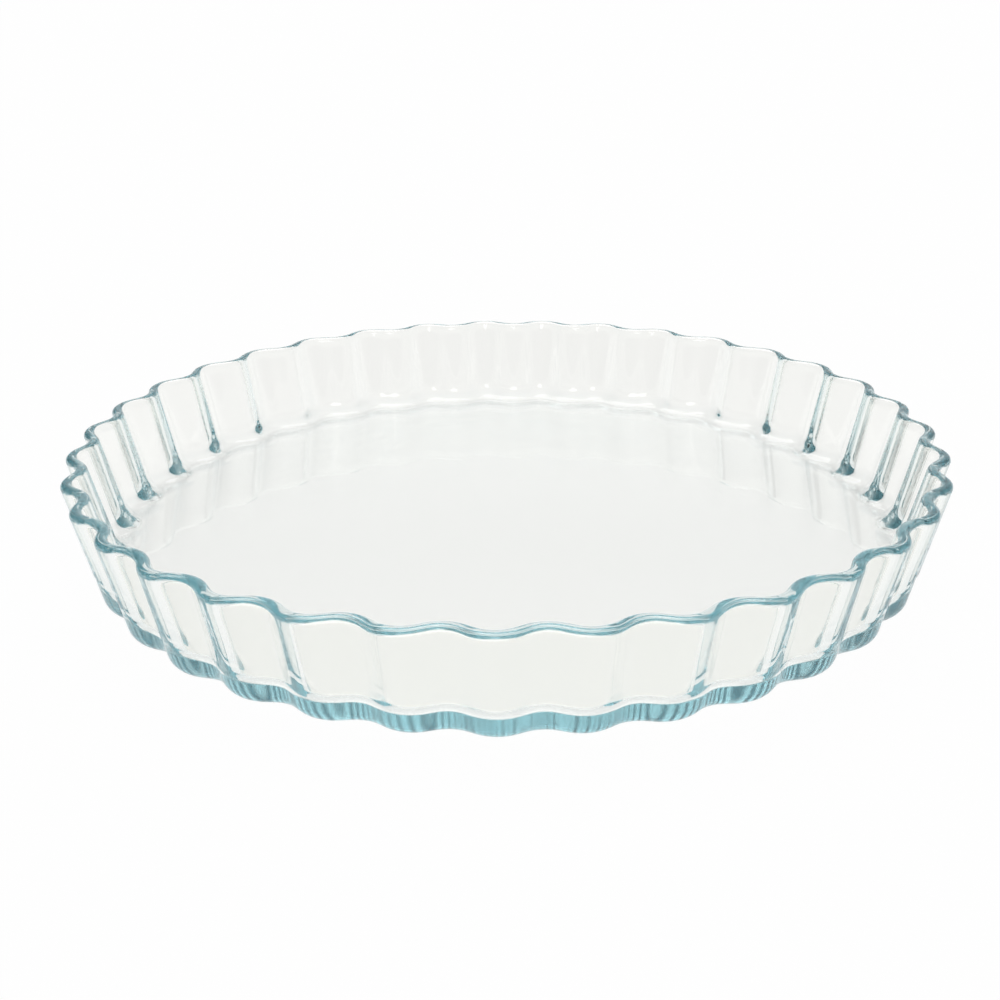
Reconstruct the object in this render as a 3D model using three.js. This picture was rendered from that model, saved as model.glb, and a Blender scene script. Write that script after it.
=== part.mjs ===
// A round fluted baking dish, pressed in one piece from clear glass.
// Millimetres, +Z up. The origin is the middle of the foot, on the table plane,
// and the lobe of the first flute faces -Y.
import * as THREE from 'three';

// Driving sizes
const RIM_DIAMETER = 280;             // across the rim, over the lobes of the flutes
const DISH_HEIGHT = 35.1;             // from the table to the top of the rim
const OUTER_DRAFT_DEGREES = 13.4;     // lean of the outer wall from upright
const INNER_DRAFT_DEGREES = 15;       // lean of the inner wall, so the wall thickens towards the floor
const RIM_THICKNESS = 3.9;            // thickness of the wall at the rim, square to the flutes
const RIM_EDGE_RADIUS = 1.65;         // rounding of both edges of the rim
const FLOOR_THICKNESS = 5.75;         // from the table to the inside of the floor
const HEEL_RADIUS = 7.2;              // rounding from the outer wall to the foot
const FLOOR_FILLET_RADIUS = 6.8;      // rounding from the inner wall to the floor
const RESTING_RING_WIDTH = 5;         // flat ring that touches the table, at its narrowest
const PUSH_UP_HEIGHT = 0.8;           // rise of the underside in its middle, clear of the table
const FLUTE_COUNT = 35;
const RIM_FLUTE_DEPTH = 4.1;          // from lobe to valley at the height of the rim
const FOOT_FLUTE_DEPTH = 3.1;         // from lobe to valley at the height of the table
const FLUTE_FLATNESS = 0.65;          // near 0 the flutes are a sine wave, larger values flatten their crests

// Facets
const COLUMNS_PER_FLUTE = 8;
const UNDERSIDE_STEPS = 3;
const HEEL_STEPS = 4;
const RIM_EDGE_STEPS = 2;
const FLOOR_FILLET_STEPS = 5;

// Finish
const GLASS_COLOUR = 0xb4d3d6;
const GLASS_ROUGHNESS = 0.04;
const GLASS_OPACITY = 0.35;

const outerDraft = THREE.MathUtils.degToRad(OUTER_DRAFT_DEGREES);
const innerDraft = THREE.MathUtils.degToRad(INNER_DRAFT_DEGREES);
const quarterTurn = Math.PI / 2;

// Points along an arc of the section, from one angle to the other by the shorter way.
function arcPoints(centre, radius, fromAngle, toAngle, steps) {
  const clockwise = toAngle < fromAngle;
  const arc = new THREE.EllipseCurve(centre.x, centre.y, radius, radius, fromAngle, toAngle, clockwise);
  return arc.getPoints(steps);
}

// Centre of a rounding that touches a leaning wall line and a level plane below it.
// The line leaves the given point of the rim at the given lean.
function roundingCentre(wallTop, draft, planeHeight, radius) {
  const height = planeHeight + radius;
  const wallRadius = wallTop.x - (wallTop.y - height) * Math.tan(draft);
  return new THREE.Vector2(wallRadius - radius / Math.cos(draft), height);
}

// The section through a lobe, as three runs of radius and height:
// the smooth underside, the fluted wall from the foot over the rim to the floor, and the floor's middle.
function lobeSection() {
  const edgeHeight = DISH_HEIGHT - RIM_EDGE_RADIUS;
  const outerEdge = new THREE.Vector2(RIM_DIAMETER / 2 - RIM_EDGE_RADIUS, edgeHeight);
  const innerEdge = new THREE.Vector2(RIM_DIAMETER / 2 - RIM_THICKNESS + RIM_EDGE_RADIUS, edgeHeight);
  const outerRim = arcPoints(outerEdge, RIM_EDGE_RADIUS, -outerDraft, quarterTurn, RIM_EDGE_STEPS);
  const innerRim = arcPoints(innerEdge, RIM_EDGE_RADIUS, quarterTurn, Math.PI - innerDraft, RIM_EDGE_STEPS);

  const heelCentre = roundingCentre(outerRim.at(0), outerDraft, 0, HEEL_RADIUS);
  const heel = arcPoints(heelCentre, HEEL_RADIUS, -quarterTurn, -outerDraft, HEEL_STEPS);
  const filletCentre = roundingCentre(innerRim.at(-1), innerDraft, FLOOR_THICKNESS, FLOOR_FILLET_RADIUS);
  const fillet = arcPoints(filletCentre, FLOOR_FILLET_RADIUS, -innerDraft, -quarterTurn, FLOOR_FILLET_STEPS);

  const ringInside = heelCentre.x - FOOT_FLUTE_DEPTH - RESTING_RING_WIDTH;
  const underside = Array.from({ length: UNDERSIDE_STEPS + 1 }, (_, step) => {
    const share = step / UNDERSIDE_STEPS;
    return new THREE.Vector2(ringInside * share, PUSH_UP_HEIGHT * (1 - share * share));
  });
  return {
    underside,
    wall: [...heel, ...outerRim, ...innerRim, ...fillet],
    floorMiddle: [new THREE.Vector2(0, FLOOR_THICKNESS)],
  };
}

// The wave of the wall at an angle round the dish: the share of the flute depth by which it is drawn in,
// 0 on a lobe and 1 in a valley, and how fast that share changes with the angle.
function fluteWave(angle) {
  const phase = FLUTE_COUNT * angle;
  const crest = Math.tanh(FLUTE_FLATNESS * Math.cos(phase));
  const highestCrest = Math.tanh(FLUTE_FLATNESS);
  return {
    share: (1 - crest / highestCrest) / 2,
    change: (FLUTE_COUNT * FLUTE_FLATNESS * Math.sin(phase) * (1 - crest * crest)) / (2 * highestCrest),
  };
}

function fluteDepthAt(height) {
  return THREE.MathUtils.lerp(FOOT_FLUTE_DEPTH, RIM_FLUTE_DEPTH, height / DISH_HEIGHT);
}

// Where a point of the lobe section comes to lie at an angle, as a distance outward and one along the round.
// The middle of the wall follows the wave and both faces lie square to it, so the wall keeps its thickness.
// What lies further in than the inner face moves straight to the axis.
function wavedPoint(point, depth, angle) {
  const below = DISH_HEIGHT - point.y;
  const outerFace = RIM_DIAMETER / 2 - below * Math.tan(outerDraft);
  const innerFace = RIM_DIAMETER / 2 - RIM_THICKNESS - below * Math.tan(innerDraft);
  const middle = (outerFace + innerFace) / 2;
  const halfWall = (outerFace - innerFace) / 2;
  const fromMiddle = THREE.MathUtils.clamp(point.x - middle, -halfWall, halfWall);
  const furtherIn = point.x - middle - fromMiddle;
  const { share, change } = fluteWave(angle);
  const wave = middle - depth * share;
  const slope = -depth * change;
  const stretch = Math.hypot(wave, slope);
  return {
    outward: wave + furtherIn + (fromMiddle * wave) / stretch,
    along: (-fromMiddle * slope) / stretch,
  };
}

// The lobe section turned about the axis, with the wall waved by the flutes.
function dishGeometry() {
  const { underside, wall, floorMiddle } = lobeSection();
  const section = [...underside, ...wall, ...floorMiddle];
  const depths = section.map((point) => (wall.includes(point) ? fluteDepthAt(point.y) : 0));
  const columns = FLUTE_COUNT * COLUMNS_PER_FLUTE;
  const geometry = new THREE.LatheGeometry(section, columns);
  const position = geometry.getAttribute('position');
  for (let vertex = 0; vertex < position.count; vertex += 1) {
    const ring = vertex % section.length;
    const column = Math.floor(vertex / section.length) % columns;
    const angle = (column / columns) * 2 * Math.PI;
    const { outward, along } = wavedPoint(section[ring], depths[ring], angle);
    const across = outward * Math.sin(angle) + along * Math.cos(angle);
    const ahead = outward * Math.cos(angle) - along * Math.sin(angle);
    position.setXYZ(vertex, across, section[ring].y, ahead);
  }
  geometry.rotateX(quarterTurn);
  geometry.computeVertexNormals();
  return geometry;
}

const glass = new THREE.MeshStandardMaterial({
  color: GLASS_COLOUR,
  roughness: GLASS_ROUGHNESS,
  metalness: 0,
  transparent: true,
  opacity: GLASS_OPACITY,
});

const dish = new THREE.Mesh(dishGeometry(), glass);
dish.name = 'dish';

const bakingDish = new THREE.Group();
bakingDish.add(dish);

export default bakingDish;
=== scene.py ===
"""A round fluted baking dish of pressed glass on a pale studio floor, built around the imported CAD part."""
import math

import bpy
import numpy as np
from bpy.props import FloatProperty, FloatVectorProperty, IntProperty, PointerProperty
from bpy.types import Operator, Panel, PropertyGroup
from mathutils import Matrix, Vector


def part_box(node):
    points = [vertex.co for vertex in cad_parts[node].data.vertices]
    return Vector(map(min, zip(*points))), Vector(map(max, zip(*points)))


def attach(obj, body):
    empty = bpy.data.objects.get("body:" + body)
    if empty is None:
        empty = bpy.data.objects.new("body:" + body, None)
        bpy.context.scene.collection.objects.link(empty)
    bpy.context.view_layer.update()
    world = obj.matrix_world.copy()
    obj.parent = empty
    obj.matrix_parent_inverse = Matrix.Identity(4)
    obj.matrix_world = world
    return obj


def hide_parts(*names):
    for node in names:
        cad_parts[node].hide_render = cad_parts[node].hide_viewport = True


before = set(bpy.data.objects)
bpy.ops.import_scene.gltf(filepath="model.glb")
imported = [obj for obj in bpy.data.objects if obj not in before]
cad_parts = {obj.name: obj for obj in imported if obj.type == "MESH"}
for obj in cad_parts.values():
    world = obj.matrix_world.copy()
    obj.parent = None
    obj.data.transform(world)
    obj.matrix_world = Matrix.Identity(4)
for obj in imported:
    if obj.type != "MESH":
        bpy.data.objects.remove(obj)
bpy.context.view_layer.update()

bl_info = {
    "name": "Fluted Glass Baking Dish",
    "version": (1, 0, 0),
    "blender": (4, 5, 0),
    "location": "View3D > Sidebar > Baking Dish",
    "description": "Makes a round fluted baking dish of pressed glass and the studio it stands in",
    "category": "Add Mesh",
}

IMAGE_WIDTH = 1000
SENSOR_WIDTH = 36.0
DISH_LOW, DISH_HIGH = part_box("dish")
QUARTER_TURN = math.pi / 2

# Rows of points along the stretches of the dish's section
UNDERSIDE_ROWS = 8
RING_ROWS = 4
HEEL_ROWS = 13
WALL_ROWS = 10
OUTER_RIM_ROWS = 9
INNER_RIM_ROWS = 8
FILLET_ROWS = 15
FADE_ROWS = 4
FLOOR_ROWS = 6

# Rings and spokes of the studio floor
FLOOR_RINGS = 24
FLOOR_SPOKES = 96

# Where the surroundings begin to dim and where they are dimmest, as the part of a direction along an axis
FRONT_SPAN = (0.0, -0.8)
LEFT_SPAN = (-0.15, -0.7)
RIGHT_SPAN = (0.35, 0.85)

# Bounces that let light be led along the floor and the wall of the glass
LIGHT_BOUNCES = 128

# Noises of the glass surface: their detail, the finer ripple's scale and weight against the broad one,
# and the values of the noise between which the haze grows from none to full
RIPPLE_DETAIL = 1.0
FINE_RIPPLE_DETAIL = 0.0
FINE_RIPPLE_SCALE = 3.0
FINE_RIPPLE_WEIGHT = 0.25
HAZE_DETAIL = 3.0
HAZE_SPAN = (0.4, 0.75)

# What the camera cuts off: nearer than this share of its distance, and further than this many floor radii
NEAR_CUT = 0.01
FAR_CUT = 4.0

# Digits shown in the panel after the point
LENGTH_DIGITS = 5
NUMBER_DIGITS = 4


def length(name, description, default):
    """A length property in metres."""
    return FloatProperty(
        name=name, description=description, default=default, min=0.0, unit="LENGTH", precision=LENGTH_DIGITS
    )


def angle(name, description, degrees):
    """An angle property, with its default given in degrees."""
    return FloatProperty(name=name, description=description, default=math.radians(degrees), subtype="ANGLE")


def number(name, description, default):
    """A plain number property."""
    return FloatProperty(name=name, description=description, default=default, precision=NUMBER_DIGITS)


def count(name, description, default):
    """A whole number property."""
    return IntProperty(name=name, description=description, default=default, min=1)


def colour(name, description, default):
    """A colour property."""
    return FloatVectorProperty(
        name=name, description=description, default=default, subtype="COLOR", min=0.0, max=1.0
    )


class DishSizes(PropertyGroup):
    """Sizes of the dish, as a mould maker would give them."""

    rim_radius: length("Rim radius", "From the axis to the lobe of a flute at the rim", -DISH_LOW.y)
    height: length("Height", "From the table to the top of the rim", DISH_HIGH.z)
    outer_draft: angle("Outer draft", "Lean of the outer wall from upright", 13.4)
    inner_draft: angle("Inner draft", "Lean of the inner wall from upright", 15.0)
    rim_thickness: length("Rim thickness", "Thickness of the wall at the rim, square to the flutes", 0.0039)
    rim_edge_radius: length("Rim edge radius", "Rounding of both edges of the rim", 0.00165)
    floor_thickness: length("Floor thickness", "From the table to the inside of the floor", 0.00575)
    heel_radius: length("Heel radius", "Rounding from the outer wall to the foot", 0.0072)
    floor_fillet_radius: length("Floor fillet radius", "Rounding from the inner wall to the floor", 0.0068)
    resting_ring_width: length("Resting ring width", "Narrowest width of the ring on the table", 0.005)
    push_up_height: length("Push-up height", "Rise of the underside in its middle", 0.0008)
    flute_count: count("Flutes", "Number of flutes round the wall", 35)
    rim_flute_depth: length("Flute depth at the rim", "From lobe to valley at the rim", 0.0041)
    foot_flute_depth: length("Flute depth at the foot", "From lobe to valley at the table", 0.0031)
    flute_flatness: number("Flute flatness", "Near 0 for a sine wave, larger for flatter crests", 0.65)
    flute_fade: length("Flute fade", "Width over which the flutes die away on the floor", 0.012)
    columns_per_flute: count("Columns per flute", "Mesh columns in one flute", 28)


class GlassFinish(PropertyGroup):
    """Colour and surface of the glass."""

    surface_tint: colour("Surface tint", "Colour of the glass surface", (0.997, 0.990, 0.964))
    depth_tint: colour("Depth tint", "Colour that light keeps on a long way in glass", (0.0, 0.57, 0.67))
    depth_density: number("Depth density", "Absorption per metre of glass", 4.5)
    refraction: number("Refraction", "Refractive index of soda-lime glass", 1.51)
    ripple_height: length("Ripple height", "Height of the soft ripple left by pressing", 0.00002)
    ripple_scale: number("Ripple scale", "Ripples per metre", 60.0)
    haze: number("Haze", "Greatest roughness, where the glass was wiped", 0.02)
    haze_scale: number("Haze scale", "Patches of haze per metre", 14.0)
    foot_frost: number("Foot frost", "Roughness of the matt underside", 0.1)
    foot_height: length("Foot height", "Height over the table up to which the glass is matt", 0.001)


class StudioLook(PropertyGroup):
    """Floor, light and camera of the studio."""

    floor_radius: length("Floor radius", "Radius of the pale floor", 8.0)
    floor_drop: length("Floor drop", "Gap between the resting ring and the floor", 0.0003)
    floor_colour: colour("Floor colour", "Colour of the pale floor", (0.9, 0.9, 0.9))
    background_white: number("Background white", "Share of plain white in the floor for the camera", 0.98)
    floor_white: number("Floor white", "Share of plain white in the floor as the glass shows it", 0.92)
    # These four settings paint a shadow: a ring of floor under the heel where the glass sees less of the
    # white, so more of the real lit floor shows, darker
    contact_radius: length("Contact radius", "Middle of the ring of floor that the heel shades", 0.127)
    contact_core: length("Contact core", "Distance from that middle within which the shade is full", 0.0035)
    contact_reach: length("Contact reach", "Distance from that middle at which the shade ends", 0.006)
    painted_contact_shade: number("Contact shade", "Share of the white that the floor loses in that ring", 0.15)
    horizon_top: angle("Horizon top", "Height up to which the surroundings are plain white", 0.5)
    side_begin: angle("Side begin", "Height from which the front and the sides are fully dimmed", 5.0)
    overhead_begin: angle("Overhead begin", "Height from which the overhead light grows softer", 17.0)
    zenith_begin: angle("Zenith begin", "Height from which the overhead light is fully softened", 25.0)
    zenith_light: number("Zenith light", "Brightness of the surroundings overhead", 0.68)
    front_light: number("Front light", "Share of the brightness left behind the camera", 0.1)
    left_light: number("Left light", "Share of the brightness left at the left", 0.05)
    right_light: number("Right light", "Share of the brightness left at the right", 0.35)
    top_strength: number("Top lamp strength", "Strength of the overhead soft lamp", 1.0)
    top_width: angle("Top lamp width", "Angle that the overhead lamp covers", 45.0)
    top_height: angle("Top lamp height", "Height of the overhead lamp over the horizon", 65.0)
    top_side: angle("Top lamp side", "Angle of the overhead lamp from straight behind the dish", -20.0)
    fill_strength: number("Fill lamp strength", "Strength of the soft lamp over the camera", 0.5)
    fill_width: angle("Fill lamp width", "Angle that the lamp over the camera covers", 26.0)
    fill_height: angle("Fill lamp height", "Height of the lamp over the camera over the horizon", 28.0)
    fill_side: angle("Fill lamp side", "Angle of that lamp from straight behind the dish", 180.0)
    camera_distance: length("Camera distance", "From the camera to the middle of the foot", 0.48024)
    camera_height: angle("Camera height", "Angle of the camera over the horizon", 23.712)
    camera_side: angle("Camera side", "Angle of the camera to the right of the front", 1.354)
    camera_roll: angle("Camera roll", "Turn of the camera about its own line of sight", -0.483)
    focal_pixels: number("Focal length", "Focal length in pixels of the image", 1433.8)
    aim_right: number("Aim right", "Pixels from the image's middle right to the foot's middle", 7.46)
    aim_down: number("Aim down", "Pixels from the image's middle down to the foot's middle", 32.99)


def arc(centre, radius, start, end, steps):
    """Points at radius from centre, from the start to the end angle, as rows of radius and height."""
    turn = np.linspace(start, end, steps)
    return np.stack([centre[0] + radius * np.cos(turn), centre[1] + radius * np.sin(turn)], axis=1)


def between(first, last, steps):
    """Evenly spaced points on the straight line from first to last, without its two ends."""
    share = np.linspace(0.0, 1.0, steps + 2)[1:-1, None]
    return first * (1.0 - share) + last * share


def rounding_centre(wall_top, draft, plane_height, radius):
    """Centre of the arc that touches the leaning line down from wall_top and the level plane below it."""
    height = plane_height + radius
    wall_radius = wall_top[0] - (wall_top[1] - height) * math.tan(draft)
    return np.array([wall_radius - radius / math.cos(draft), height])


def smooth_step(share):
    """Rises from 0 to 1 with level ends: three times the square less twice the cube."""
    share = np.clip(share, 0.0, 1.0)
    return share * share * (3.0 - 2.0 * share)


def lobe_section(sizes):
    """The section of the glass through a lobe: rows of radius and height, and each one's share of the flute.

    It runs from the middle of the underside over the heel, the outer wall, the rim, the inner wall and the
    floor fillet to the middle of the floor. The wall lines touch the arcs, so the section has no corner.
    """
    edge_height = sizes.height - sizes.rim_edge_radius
    outer_edge = (sizes.rim_radius - sizes.rim_edge_radius, edge_height)
    inner_edge = (sizes.rim_radius - sizes.rim_thickness + sizes.rim_edge_radius, edge_height)
    outer_rim = arc(outer_edge, sizes.rim_edge_radius, -sizes.outer_draft, QUARTER_TURN, OUTER_RIM_ROWS)
    inner_rim = arc(
        inner_edge, sizes.rim_edge_radius, QUARTER_TURN, math.pi - sizes.inner_draft, INNER_RIM_ROWS
    )
    heel_centre = rounding_centre(outer_rim[0], sizes.outer_draft, 0.0, sizes.heel_radius)
    heel = arc(heel_centre, sizes.heel_radius, -QUARTER_TURN, -sizes.outer_draft, HEEL_ROWS)
    fillet_centre = rounding_centre(
        inner_rim[-1], sizes.inner_draft, sizes.floor_thickness, sizes.floor_fillet_radius
    )
    fillet = arc(fillet_centre, sizes.floor_fillet_radius, -sizes.inner_draft, -QUARTER_TURN, FILLET_ROWS)

    ring_inside = heel_centre[0] - sizes.foot_flute_depth - sizes.resting_ring_width
    share = np.sqrt(np.linspace(0.0, 1.0, UNDERSIDE_ROWS + 1)[1:])
    underside = np.stack([ring_inside * share, sizes.push_up_height * (1.0 - share * share)], axis=1)
    ring = between(underside[-1], heel[0], RING_ROWS)
    outer_wall = between(heel[-1], outer_rim[0], WALL_ROWS)
    inner_wall = between(inner_rim[-1], fillet[0], WALL_ROWS)
    wall = np.concatenate([heel, outer_wall, outer_rim, inner_rim, inner_wall, fillet])
    fade_end = np.array([fillet[-1, 0] - sizes.flute_fade, sizes.floor_thickness])
    fade = between(fillet[-1], fade_end, FADE_ROWS)
    share = np.sqrt(np.linspace(1.0, 0.0, FLOOR_ROWS + 1)[:-1])
    floor = np.stack([fade_end[0] * share, np.full_like(share, sizes.floor_thickness)], axis=1)

    section = np.concatenate([underside, ring, wall, fade, floor])
    flute = np.concatenate([
        np.zeros(len(underside)),
        smooth_step((ring[:, 0] - ring_inside) / (heel[0, 0] - ring_inside)),
        np.ones(len(wall)),
        smooth_step((fade[:, 0] - fade_end[0]) / sizes.flute_fade),
        np.zeros(len(floor)),
    ])
    return section, flute


def dish_surface(sizes):
    """The glass as a grid of points, by section row and by angle.

    The middle of the wall waves between lobe and valley: its radius is that of the lobe less the flute depth
    at its height times the share of the flute at its angle. The share is 0 on a lobe and 1 in a valley: half
    of one less a flattened cosine of the angle times the number of flutes, where the flattened cosine is the
    hyperbolic tangent of the cosine, scaled back to 1. Both faces lie square to that wave, so the wall keeps
    its thickness on the flanks. What lies further in than the inner face moves straight to the axis.
    """
    section, flute = lobe_section(sizes)
    columns = sizes.flute_count * sizes.columns_per_flute
    turn = np.arange(columns) * (2.0 * math.pi / columns)
    phase = sizes.flute_count * turn
    flatten = math.tanh(sizes.flute_flatness)
    bent = np.tanh(sizes.flute_flatness * np.cos(phase))
    drawn_in = (1.0 - bent / flatten) / 2.0
    slope = sizes.flute_count * sizes.flute_flatness * np.sin(phase) * (1.0 - bent * bent) / (2.0 * flatten)

    rise = section[:, 1] / sizes.height
    below = sizes.height - section[:, 1]
    outer_face = sizes.rim_radius - below * math.tan(sizes.outer_draft)
    inner_face = sizes.rim_radius - sizes.rim_thickness - below * math.tan(sizes.inner_draft)
    middle = (outer_face + inner_face) / 2.0
    half_wall = (outer_face - inner_face) / 2.0
    from_middle = np.clip(section[:, 0] - middle, -half_wall, half_wall)
    further_in = section[:, 0] - middle - from_middle
    depth = flute * (sizes.foot_flute_depth * (1.0 - rise) + sizes.rim_flute_depth * rise)

    wave = middle[:, None] - depth[:, None] * drawn_in
    wave_slope = -depth[:, None] * slope
    stretch = np.hypot(wave, wave_slope)
    outward = wave + further_in[:, None] + from_middle[:, None] * wave / stretch
    along = -from_middle[:, None] * wave_slope / stretch
    height = np.broadcast_to(section[:, 1, None], outward.shape)
    across = outward * np.sin(turn) + along * np.cos(turn)
    ahead = -outward * np.cos(turn) + along * np.sin(turn)
    return np.stack([across, ahead, height], axis=-1)


def closed_body(name, rings):
    """A closed mesh object from rings of points, with a pole in the middle of its first and last ring."""
    ring_count, columns = rings.shape[:2]
    poles = rings[[0, -1]].mean(axis=1)
    points = np.concatenate([rings.reshape(-1, 3), poles])
    low_pole, high_pole = len(points) - 2, len(points) - 1
    here = np.arange(ring_count * columns).reshape(ring_count, columns)
    after = np.roll(here, -1, axis=1)
    walls = np.stack([here[:-1], after[:-1], after[1:], here[1:]], axis=-1).reshape(-1, 4)
    low_cap = np.stack([np.full(columns, low_pole), after[0], here[0]], axis=-1)
    high_cap = np.stack([here[-1], after[-1], np.full(columns, high_pole)], axis=-1)
    return mesh_object(name, points, walls.tolist() + low_cap.tolist() + high_cap.tolist())


def mesh_object(name, points, faces):
    """A smooth-shaded mesh object at the origin, linked to the scene."""
    mesh = bpy.data.meshes.new(name)
    mesh.from_pydata(points, [], faces, shade_flat=False)
    mesh.validate()
    piece = bpy.data.objects.new(name, mesh)
    bpy.context.scene.collection.objects.link(piece)
    return piece


def feed(tree, value, socket):
    """Gives a socket a number, or a link from another socket."""
    if isinstance(value, float):
        socket.default_value = value
    else:
        tree.links.new(value, socket)


def maths(tree, operation, *values):
    """The result of a Math node on values, of which each is a socket or a number."""
    node = tree.nodes.new("ShaderNodeMath")
    node.operation = operation
    for value, socket in zip(values, node.inputs):
        feed(tree, value, socket)
    return node.outputs[0]


def smooth_range(tree, value, begin, end, first, last):
    """Goes smoothly from first to last while the value goes from begin to end."""
    node = tree.nodes.new("ShaderNodeMapRange")
    node.interpolation_type = "SMOOTHSTEP"
    feed(tree, value, node.inputs["Value"])
    feed(tree, begin, node.inputs["From Min"])
    feed(tree, end, node.inputs["From Max"])
    feed(tree, first, node.inputs["To Min"])
    feed(tree, last, node.inputs["To Max"])
    return node.outputs["Result"]


def noise(tree, place, scale, detail):
    """The value of a Noise node at a place."""
    node = tree.nodes.new("ShaderNodeTexNoise")
    feed(tree, place, node.inputs["Vector"])
    feed(tree, scale, node.inputs["Scale"])
    feed(tree, detail, node.inputs["Detail"])
    return node.outputs["Fac"]


def new_group(name, inputs, output):
    """A shader node group from a place and named numbers to one number."""
    group = bpy.data.node_groups.new(name, "ShaderNodeTree")
    group.interface.new_socket("Vector", in_out="INPUT", socket_type="NodeSocketVector")
    for socket_name in inputs:
        group.interface.new_socket(socket_name, in_out="INPUT", socket_type="NodeSocketFloat")
    group.interface.new_socket(output, in_out="OUTPUT", socket_type="NodeSocketFloat")
    given = group.nodes.new("NodeGroupInput").outputs
    result = group.nodes.new("NodeGroupOutput").inputs[output]
    return group, given, result


def ripple_group():
    """Height of the soft ripple that pressing leaves in glass: a broad noise and a finer, weaker one."""
    group, given, result = new_group("Pressed Ripple", ["Scale"], "Height")
    fine_scale = maths(group, "MULTIPLY", given["Scale"], FINE_RIPPLE_SCALE)
    broad = noise(group, given["Vector"], given["Scale"], RIPPLE_DETAIL)
    fine = noise(group, given["Vector"], fine_scale, FINE_RIPPLE_DETAIL)
    group.links.new(maths(group, "MULTIPLY_ADD", fine, FINE_RIPPLE_WEIGHT, broad), result)
    return group


def haze_group():
    """Roughness of wiped glass: a soft patchy noise stretched between nothing and the given haze."""
    group, given, result = new_group("Wiped Haze", ["Scale", "Haze"], "Roughness")
    patches = noise(group, given["Vector"], given["Scale"], HAZE_DETAIL)
    group.links.new(smooth_range(group, patches, *HAZE_SPAN, 0.0, given["Haze"]), result)
    return group


def foot_group():
    """Mask of the foot of a pressed dish: 1 below the given height over the table, 0 above it."""
    group, given, result = new_group("Pressed Foot", ["Top"], "Mask")
    split = group.nodes.new("ShaderNodeSeparateXYZ")
    group.links.new(given["Vector"], split.inputs["Vector"])
    group.links.new(maths(group, "LESS_THAN", split.outputs["Z"], given["Top"]), result)
    return group


def use_group(tree, group, place, **settings):
    """The result of a node group at a place, with its numbers set by name."""
    node = tree.nodes.new("ShaderNodeGroup")
    node.node_tree = group
    tree.links.new(place, node.inputs["Vector"])
    for name, setting in settings.items():
        node.inputs[name].default_value = setting
    return node.outputs[0]


def empty_material(name):
    """A material with nothing in its node tree but the output node."""
    material = bpy.data.materials.new(name)
    material.use_nodes = True
    material.node_tree.nodes.clear()
    output = material.node_tree.nodes.new("ShaderNodeOutputMaterial")
    return material, material.node_tree, output


def glass_material(finish):
    """Clear pressed glass, smooth and rippled, with a blue-green tint that grows with the way through it."""
    material, tree, output = empty_material("Pressed Glass")
    link = tree.links.new
    place = tree.nodes.new("ShaderNodeTexCoord").outputs["Object"]
    ripple = use_group(tree, ripple_group(), place, Scale=finish.ripple_scale)
    haze = use_group(tree, haze_group(), place, Scale=finish.haze_scale, Haze=finish.haze)
    foot = use_group(tree, foot_group(), place, Top=finish.foot_height)
    bump = tree.nodes.new("ShaderNodeBump")
    bump.inputs["Distance"].default_value = finish.ripple_height
    surface = tree.nodes.new("ShaderNodeBsdfPrincipled")
    surface.inputs["Base Color"].default_value = (*finish.surface_tint, 1.0)
    surface.inputs["Metallic"].default_value = 0.0
    surface.inputs["IOR"].default_value = finish.refraction
    surface.inputs["Transmission Weight"].default_value = 1.0
    depth = tree.nodes.new("ShaderNodeVolumeAbsorption")
    depth.inputs["Color"].default_value = (*finish.depth_tint, 1.0)
    depth.inputs["Density"].default_value = finish.depth_density
    link(ripple, bump.inputs["Height"])
    link(bump.outputs["Normal"], surface.inputs["Normal"])
    link(maths(tree, "MULTIPLY_ADD", foot, finish.foot_frost, haze), surface.inputs["Roughness"])
    link(surface.outputs["BSDF"], output.inputs["Surface"])
    link(depth.outputs["Volume"], output.inputs["Volume"])
    return material


def floor_material(look):
    """A plain pale matt floor that looks white to the camera and nearly white in the glass.

    It keeps the dish's shadow, and what the glass shows of the ring under the heel has a painted shadow: its
    white share drops there, so more of the real lit floor shows.
    """
    material, tree, output = empty_material("Pale Floor")
    link = tree.links.new
    place = tree.nodes.new("ShaderNodeTexCoord")
    radius = tree.nodes.new("ShaderNodeVectorMath")
    radius.operation = "LENGTH"
    link(place.outputs["Object"], radius.inputs[0])
    # Painted shadow: a ring of floor under the heel, picked by its distance from the axis, loses part of its
    # white as the glass shows it
    away = maths(tree, "ABSOLUTE", maths(tree, "SUBTRACT", radius.outputs["Value"], look.contact_radius))
    painted_shadow_ring = smooth_range(tree, away, look.contact_core, look.contact_reach, 1.0 - look.painted_contact_shade, 1.0)

    path = tree.nodes.new("ShaderNodeLightPath").outputs
    by_glass = maths(tree, "MAXIMUM", path["Is Glossy Ray"], path["Is Transmission Ray"])
    for_glass = maths(tree, "MULTIPLY", maths(tree, "MULTIPLY", by_glass, painted_shadow_ring), look.floor_white)
    for_camera = maths(tree, "MULTIPLY", path["Is Camera Ray"], look.background_white)
    matt = tree.nodes.new("ShaderNodeBsdfDiffuse")
    matt.inputs["Color"].default_value = (*look.floor_colour, 1.0)
    white = tree.nodes.new("ShaderNodeEmission")
    white.inputs["Strength"].default_value = 1.0
    mix = tree.nodes.new("ShaderNodeMixShader")
    link(maths(tree, "MAXIMUM", for_glass, for_camera), mix.inputs["Fac"])
    link(matt.outputs["BSDF"], mix.inputs[1])
    link(white.outputs["Emission"], mix.inputs[2])
    link(mix.outputs["Shader"], output.inputs["Surface"])
    return material


def floor_surface(look):
    """A flat disc as rings of points, whose radius grows with the square of the ring's number."""
    share = np.linspace(0.0, 1.0, FLOOR_RINGS + 1)[1:]
    turn = np.linspace(0.0, 2.0 * math.pi, FLOOR_SPOKES + 1)[:-1]
    radius = look.floor_radius * share[:, None] ** 2
    height = np.full((len(share), len(turn)), -look.floor_drop)
    return np.stack([radius * np.cos(turn), radius * np.sin(turn), height], axis=-1)


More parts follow.
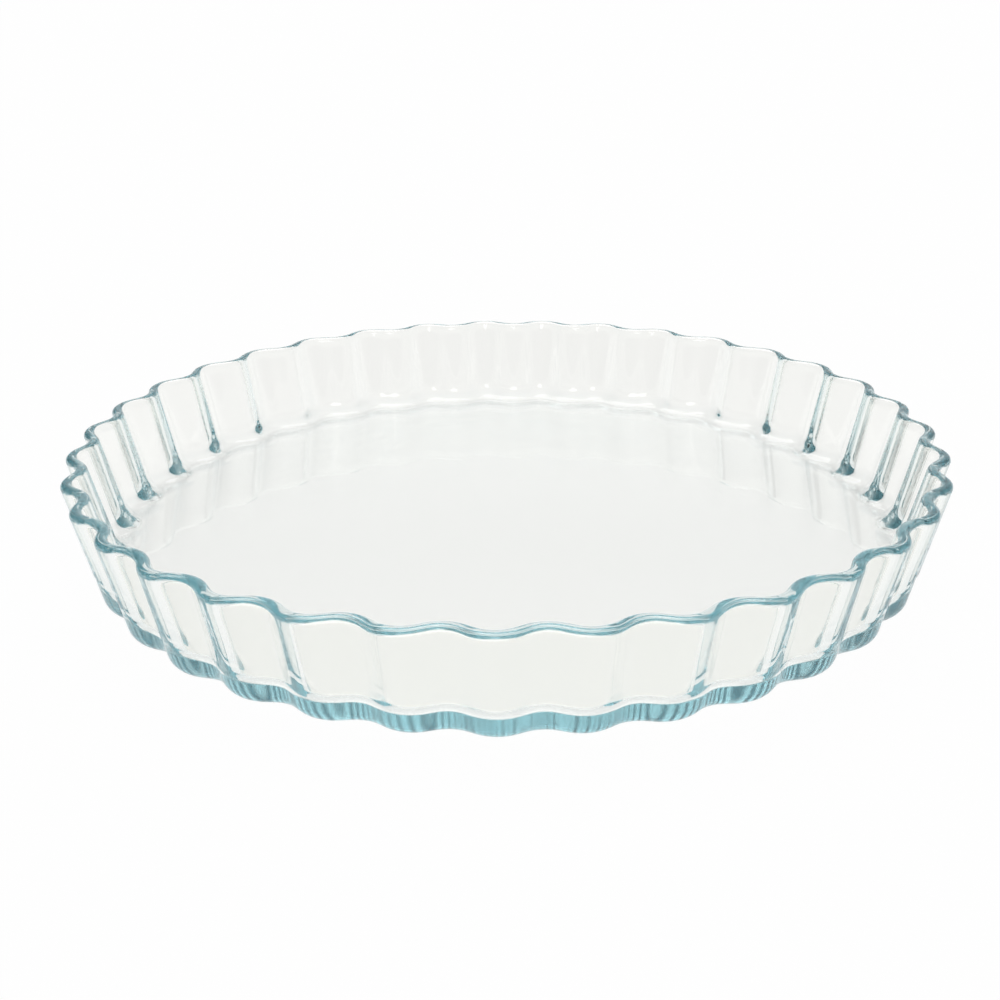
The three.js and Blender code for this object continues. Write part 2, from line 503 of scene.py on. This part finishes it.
def open_disc(name, rings):
    """A flat open mesh object from rings of points, with a pole in the middle of the first ring."""
    ring_count, columns = rings.shape[:2]
    points = np.concatenate([rings.reshape(-1, 3), rings[:1].mean(axis=1)])
    here = np.arange(ring_count * columns).reshape(ring_count, columns)
    after = np.roll(here, -1, axis=1)
    walls = np.stack([here[:-1], here[1:], after[1:], after[:-1]], axis=-1).reshape(-1, 4)
    cap = np.stack([np.full(columns, len(points) - 1), here[0], after[0]], axis=-1)
    return mesh_object(name, points, walls.tolist() + cap.tolist())


def studio_world(look):
    """Surroundings that are white at the horizon and softer higher up: overhead, at the sides and in front.

    Where the camera itself looks at them they are plain white.
    """
    world = bpy.data.worlds.new("Studio")
    world.use_nodes = True
    tree = world.node_tree
    tree.nodes.clear()
    link = tree.links.new
    direction = tree.nodes.new("ShaderNodeTexCoord")
    split = tree.nodes.new("ShaderNodeSeparateXYZ")
    link(direction.outputs["Generated"], split.inputs["Vector"])
    across, ahead, up = (split.outputs[axis] for axis in "XYZ")
    overhead_span = (math.sin(look.overhead_begin), math.sin(look.zenith_begin))
    overhead = smooth_range(tree, up, *overhead_span, 1.0, look.zenith_light)
    front = smooth_range(tree, ahead, *FRONT_SPAN, 1.0, look.front_light)
    left = smooth_range(tree, across, *LEFT_SPAN, 1.0, look.left_light)
    right = smooth_range(tree, across, *RIGHT_SPAN, 1.0, look.right_light)
    sides = maths(tree, "MULTIPLY", left, right)
    dimmed = maths(tree, "MULTIPLY", maths(tree, "MULTIPLY", overhead, front), sides)

    path = tree.nodes.new("ShaderNodeLightPath")
    unseen = maths(tree, "SUBTRACT", 1.0, path.outputs["Is Camera Ray"])
    high = smooth_range(tree, up, math.sin(look.horizon_top), math.sin(look.side_begin), 0.0, 1.0)
    blend = tree.nodes.new("ShaderNodeMix")
    blend.inputs["A"].default_value = 1.0
    glow = tree.nodes.new("ShaderNodeBackground")
    glow.inputs["Color"].default_value = (1.0, 1.0, 1.0, 1.0)
    output = tree.nodes.new("ShaderNodeOutputWorld")
    link(maths(tree, "MULTIPLY", high, unseen), blend.inputs["Factor"])
    link(dimmed, blend.inputs["B"])
    link(blend.outputs["Result"], glow.inputs["Strength"])
    link(glow.outputs["Background"], output.inputs["Surface"])
    bpy.context.scene.world = world


def soft_lamp(name, strength, width, height, side):
    """A wide soft lamp at a height over the horizon, turned to the side from straight behind the dish."""
    lamp = bpy.data.lights.new(name, "SUN")
    lamp.energy = strength
    lamp.angle = width
    holder = bpy.data.objects.new(name, lamp)
    level = math.cos(height)
    towards = Vector((level * math.sin(side), level * math.cos(side), math.sin(height)))
    holder.rotation_euler = towards.to_track_quat("Z", "Y").to_euler()
    bpy.context.scene.collection.objects.link(holder)


def photo_camera(look):
    """The camera at the photograph's viewing angle, on the line from the middle of the foot."""
    camera = bpy.data.cameras.new("Camera")
    camera.sensor_width = SENSOR_WIDTH
    camera.lens = SENSOR_WIDTH * look.focal_pixels / IMAGE_WIDTH
    camera.shift_x = -look.aim_right / IMAGE_WIDTH
    camera.shift_y = look.aim_down / IMAGE_WIDTH
    camera.clip_start = look.camera_distance * NEAR_CUT
    camera.clip_end = look.floor_radius * FAR_CUT
    level = math.cos(look.camera_height)
    across = level * math.sin(look.camera_side)
    ahead = -level * math.cos(look.camera_side)
    towards = Vector((across, ahead, math.sin(look.camera_height)))
    holder = bpy.data.objects.new("Camera", camera)
    aim = towards.to_track_quat("Z", "Y").to_matrix().to_4x4()
    roll = Matrix.Rotation(look.camera_roll, 4, "Z")
    holder.matrix_world = Matrix.Translation(towards * look.camera_distance) @ aim @ roll
    bpy.context.scene.collection.objects.link(holder)
    bpy.context.scene.camera = holder


def light_and_view(scene):
    """Lets light bounce often enough to be led along the glass, and shows colours as they are written."""
    scene.cycles.max_bounces = LIGHT_BOUNCES
    scene.cycles.transmission_bounces = LIGHT_BOUNCES
    scene.cycles.glossy_bounces = LIGHT_BOUNCES
    scene.view_settings.view_transform = "Standard"


class BAKING_DISH_OT_make_dish(Operator):
    """Make the fluted glass dish in place of its plain solid"""

    bl_idname = "baking_dish.make_dish"
    bl_label = "Make Dish"

    def execute(self, context):
        sizes = context.scene.dish_sizes
        dish = closed_body("dish_glass", dish_surface(sizes))
        dish.data.materials.append(glass_material(context.scene.glass_finish))
        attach(dish, "root")
        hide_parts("dish")
        return {"FINISHED"}


class BAKING_DISH_OT_set_stage(Operator):
    """Set up the pale floor, the soft light and the camera"""

    bl_idname = "baking_dish.set_stage"
    bl_label = "Set Stage"

    def execute(self, context):
        look = context.scene.studio_look
        floor = open_disc("studio_floor", floor_surface(look))
        floor.data.materials.append(floor_material(look))
        studio_world(look)
        soft_lamp("Top Lamp", look.top_strength, look.top_width, look.top_height, look.top_side)
        soft_lamp("Fill Lamp", look.fill_strength, look.fill_width, look.fill_height, look.fill_side)
        photo_camera(look)
        light_and_view(context.scene)
        return {"FINISHED"}


class BAKING_DISH_PT_panel(Panel):
    """Lists the sizes, the finish, the studio and the operators"""

    bl_idname = "BAKING_DISH_PT_panel"
    bl_label = "Baking Dish"
    bl_space_type = "VIEW_3D"
    bl_region_type = "UI"
    bl_category = "Baking Dish"

    def draw(self, context):
        for group in (context.scene.dish_sizes, context.scene.glass_finish, context.scene.studio_look):
            box = self.layout.box()
            for field in group.__annotations__:
                box.prop(group, field)
        self.layout.operator(BAKING_DISH_OT_make_dish.bl_idname)
        self.layout.operator(BAKING_DISH_OT_set_stage.bl_idname)


CLASSES = (
    DishSizes,
    GlassFinish,
    StudioLook,
    BAKING_DISH_OT_make_dish,
    BAKING_DISH_OT_set_stage,
    BAKING_DISH_PT_panel,
)


def register():
    """Registers the classes and puts their settings on the scene."""
    for item in CLASSES:
        bpy.utils.register_class(item)
    bpy.types.Scene.dish_sizes = PointerProperty(type=DishSizes)
    bpy.types.Scene.glass_finish = PointerProperty(type=GlassFinish)
    bpy.types.Scene.studio_look = PointerProperty(type=StudioLook)


def unregister():
    """Takes the settings off the scene and the classes out again."""
    del bpy.types.Scene.studio_look
    del bpy.types.Scene.glass_finish
    del bpy.types.Scene.dish_sizes
    for item in reversed(CLASSES):
        bpy.utils.unregister_class(item)


def main():
    """Builds the dish and its stage."""
    register()
    bpy.ops.baking_dish.make_dish()
    bpy.ops.baking_dish.set_stage()


if __name__ == "__main__":
    main()
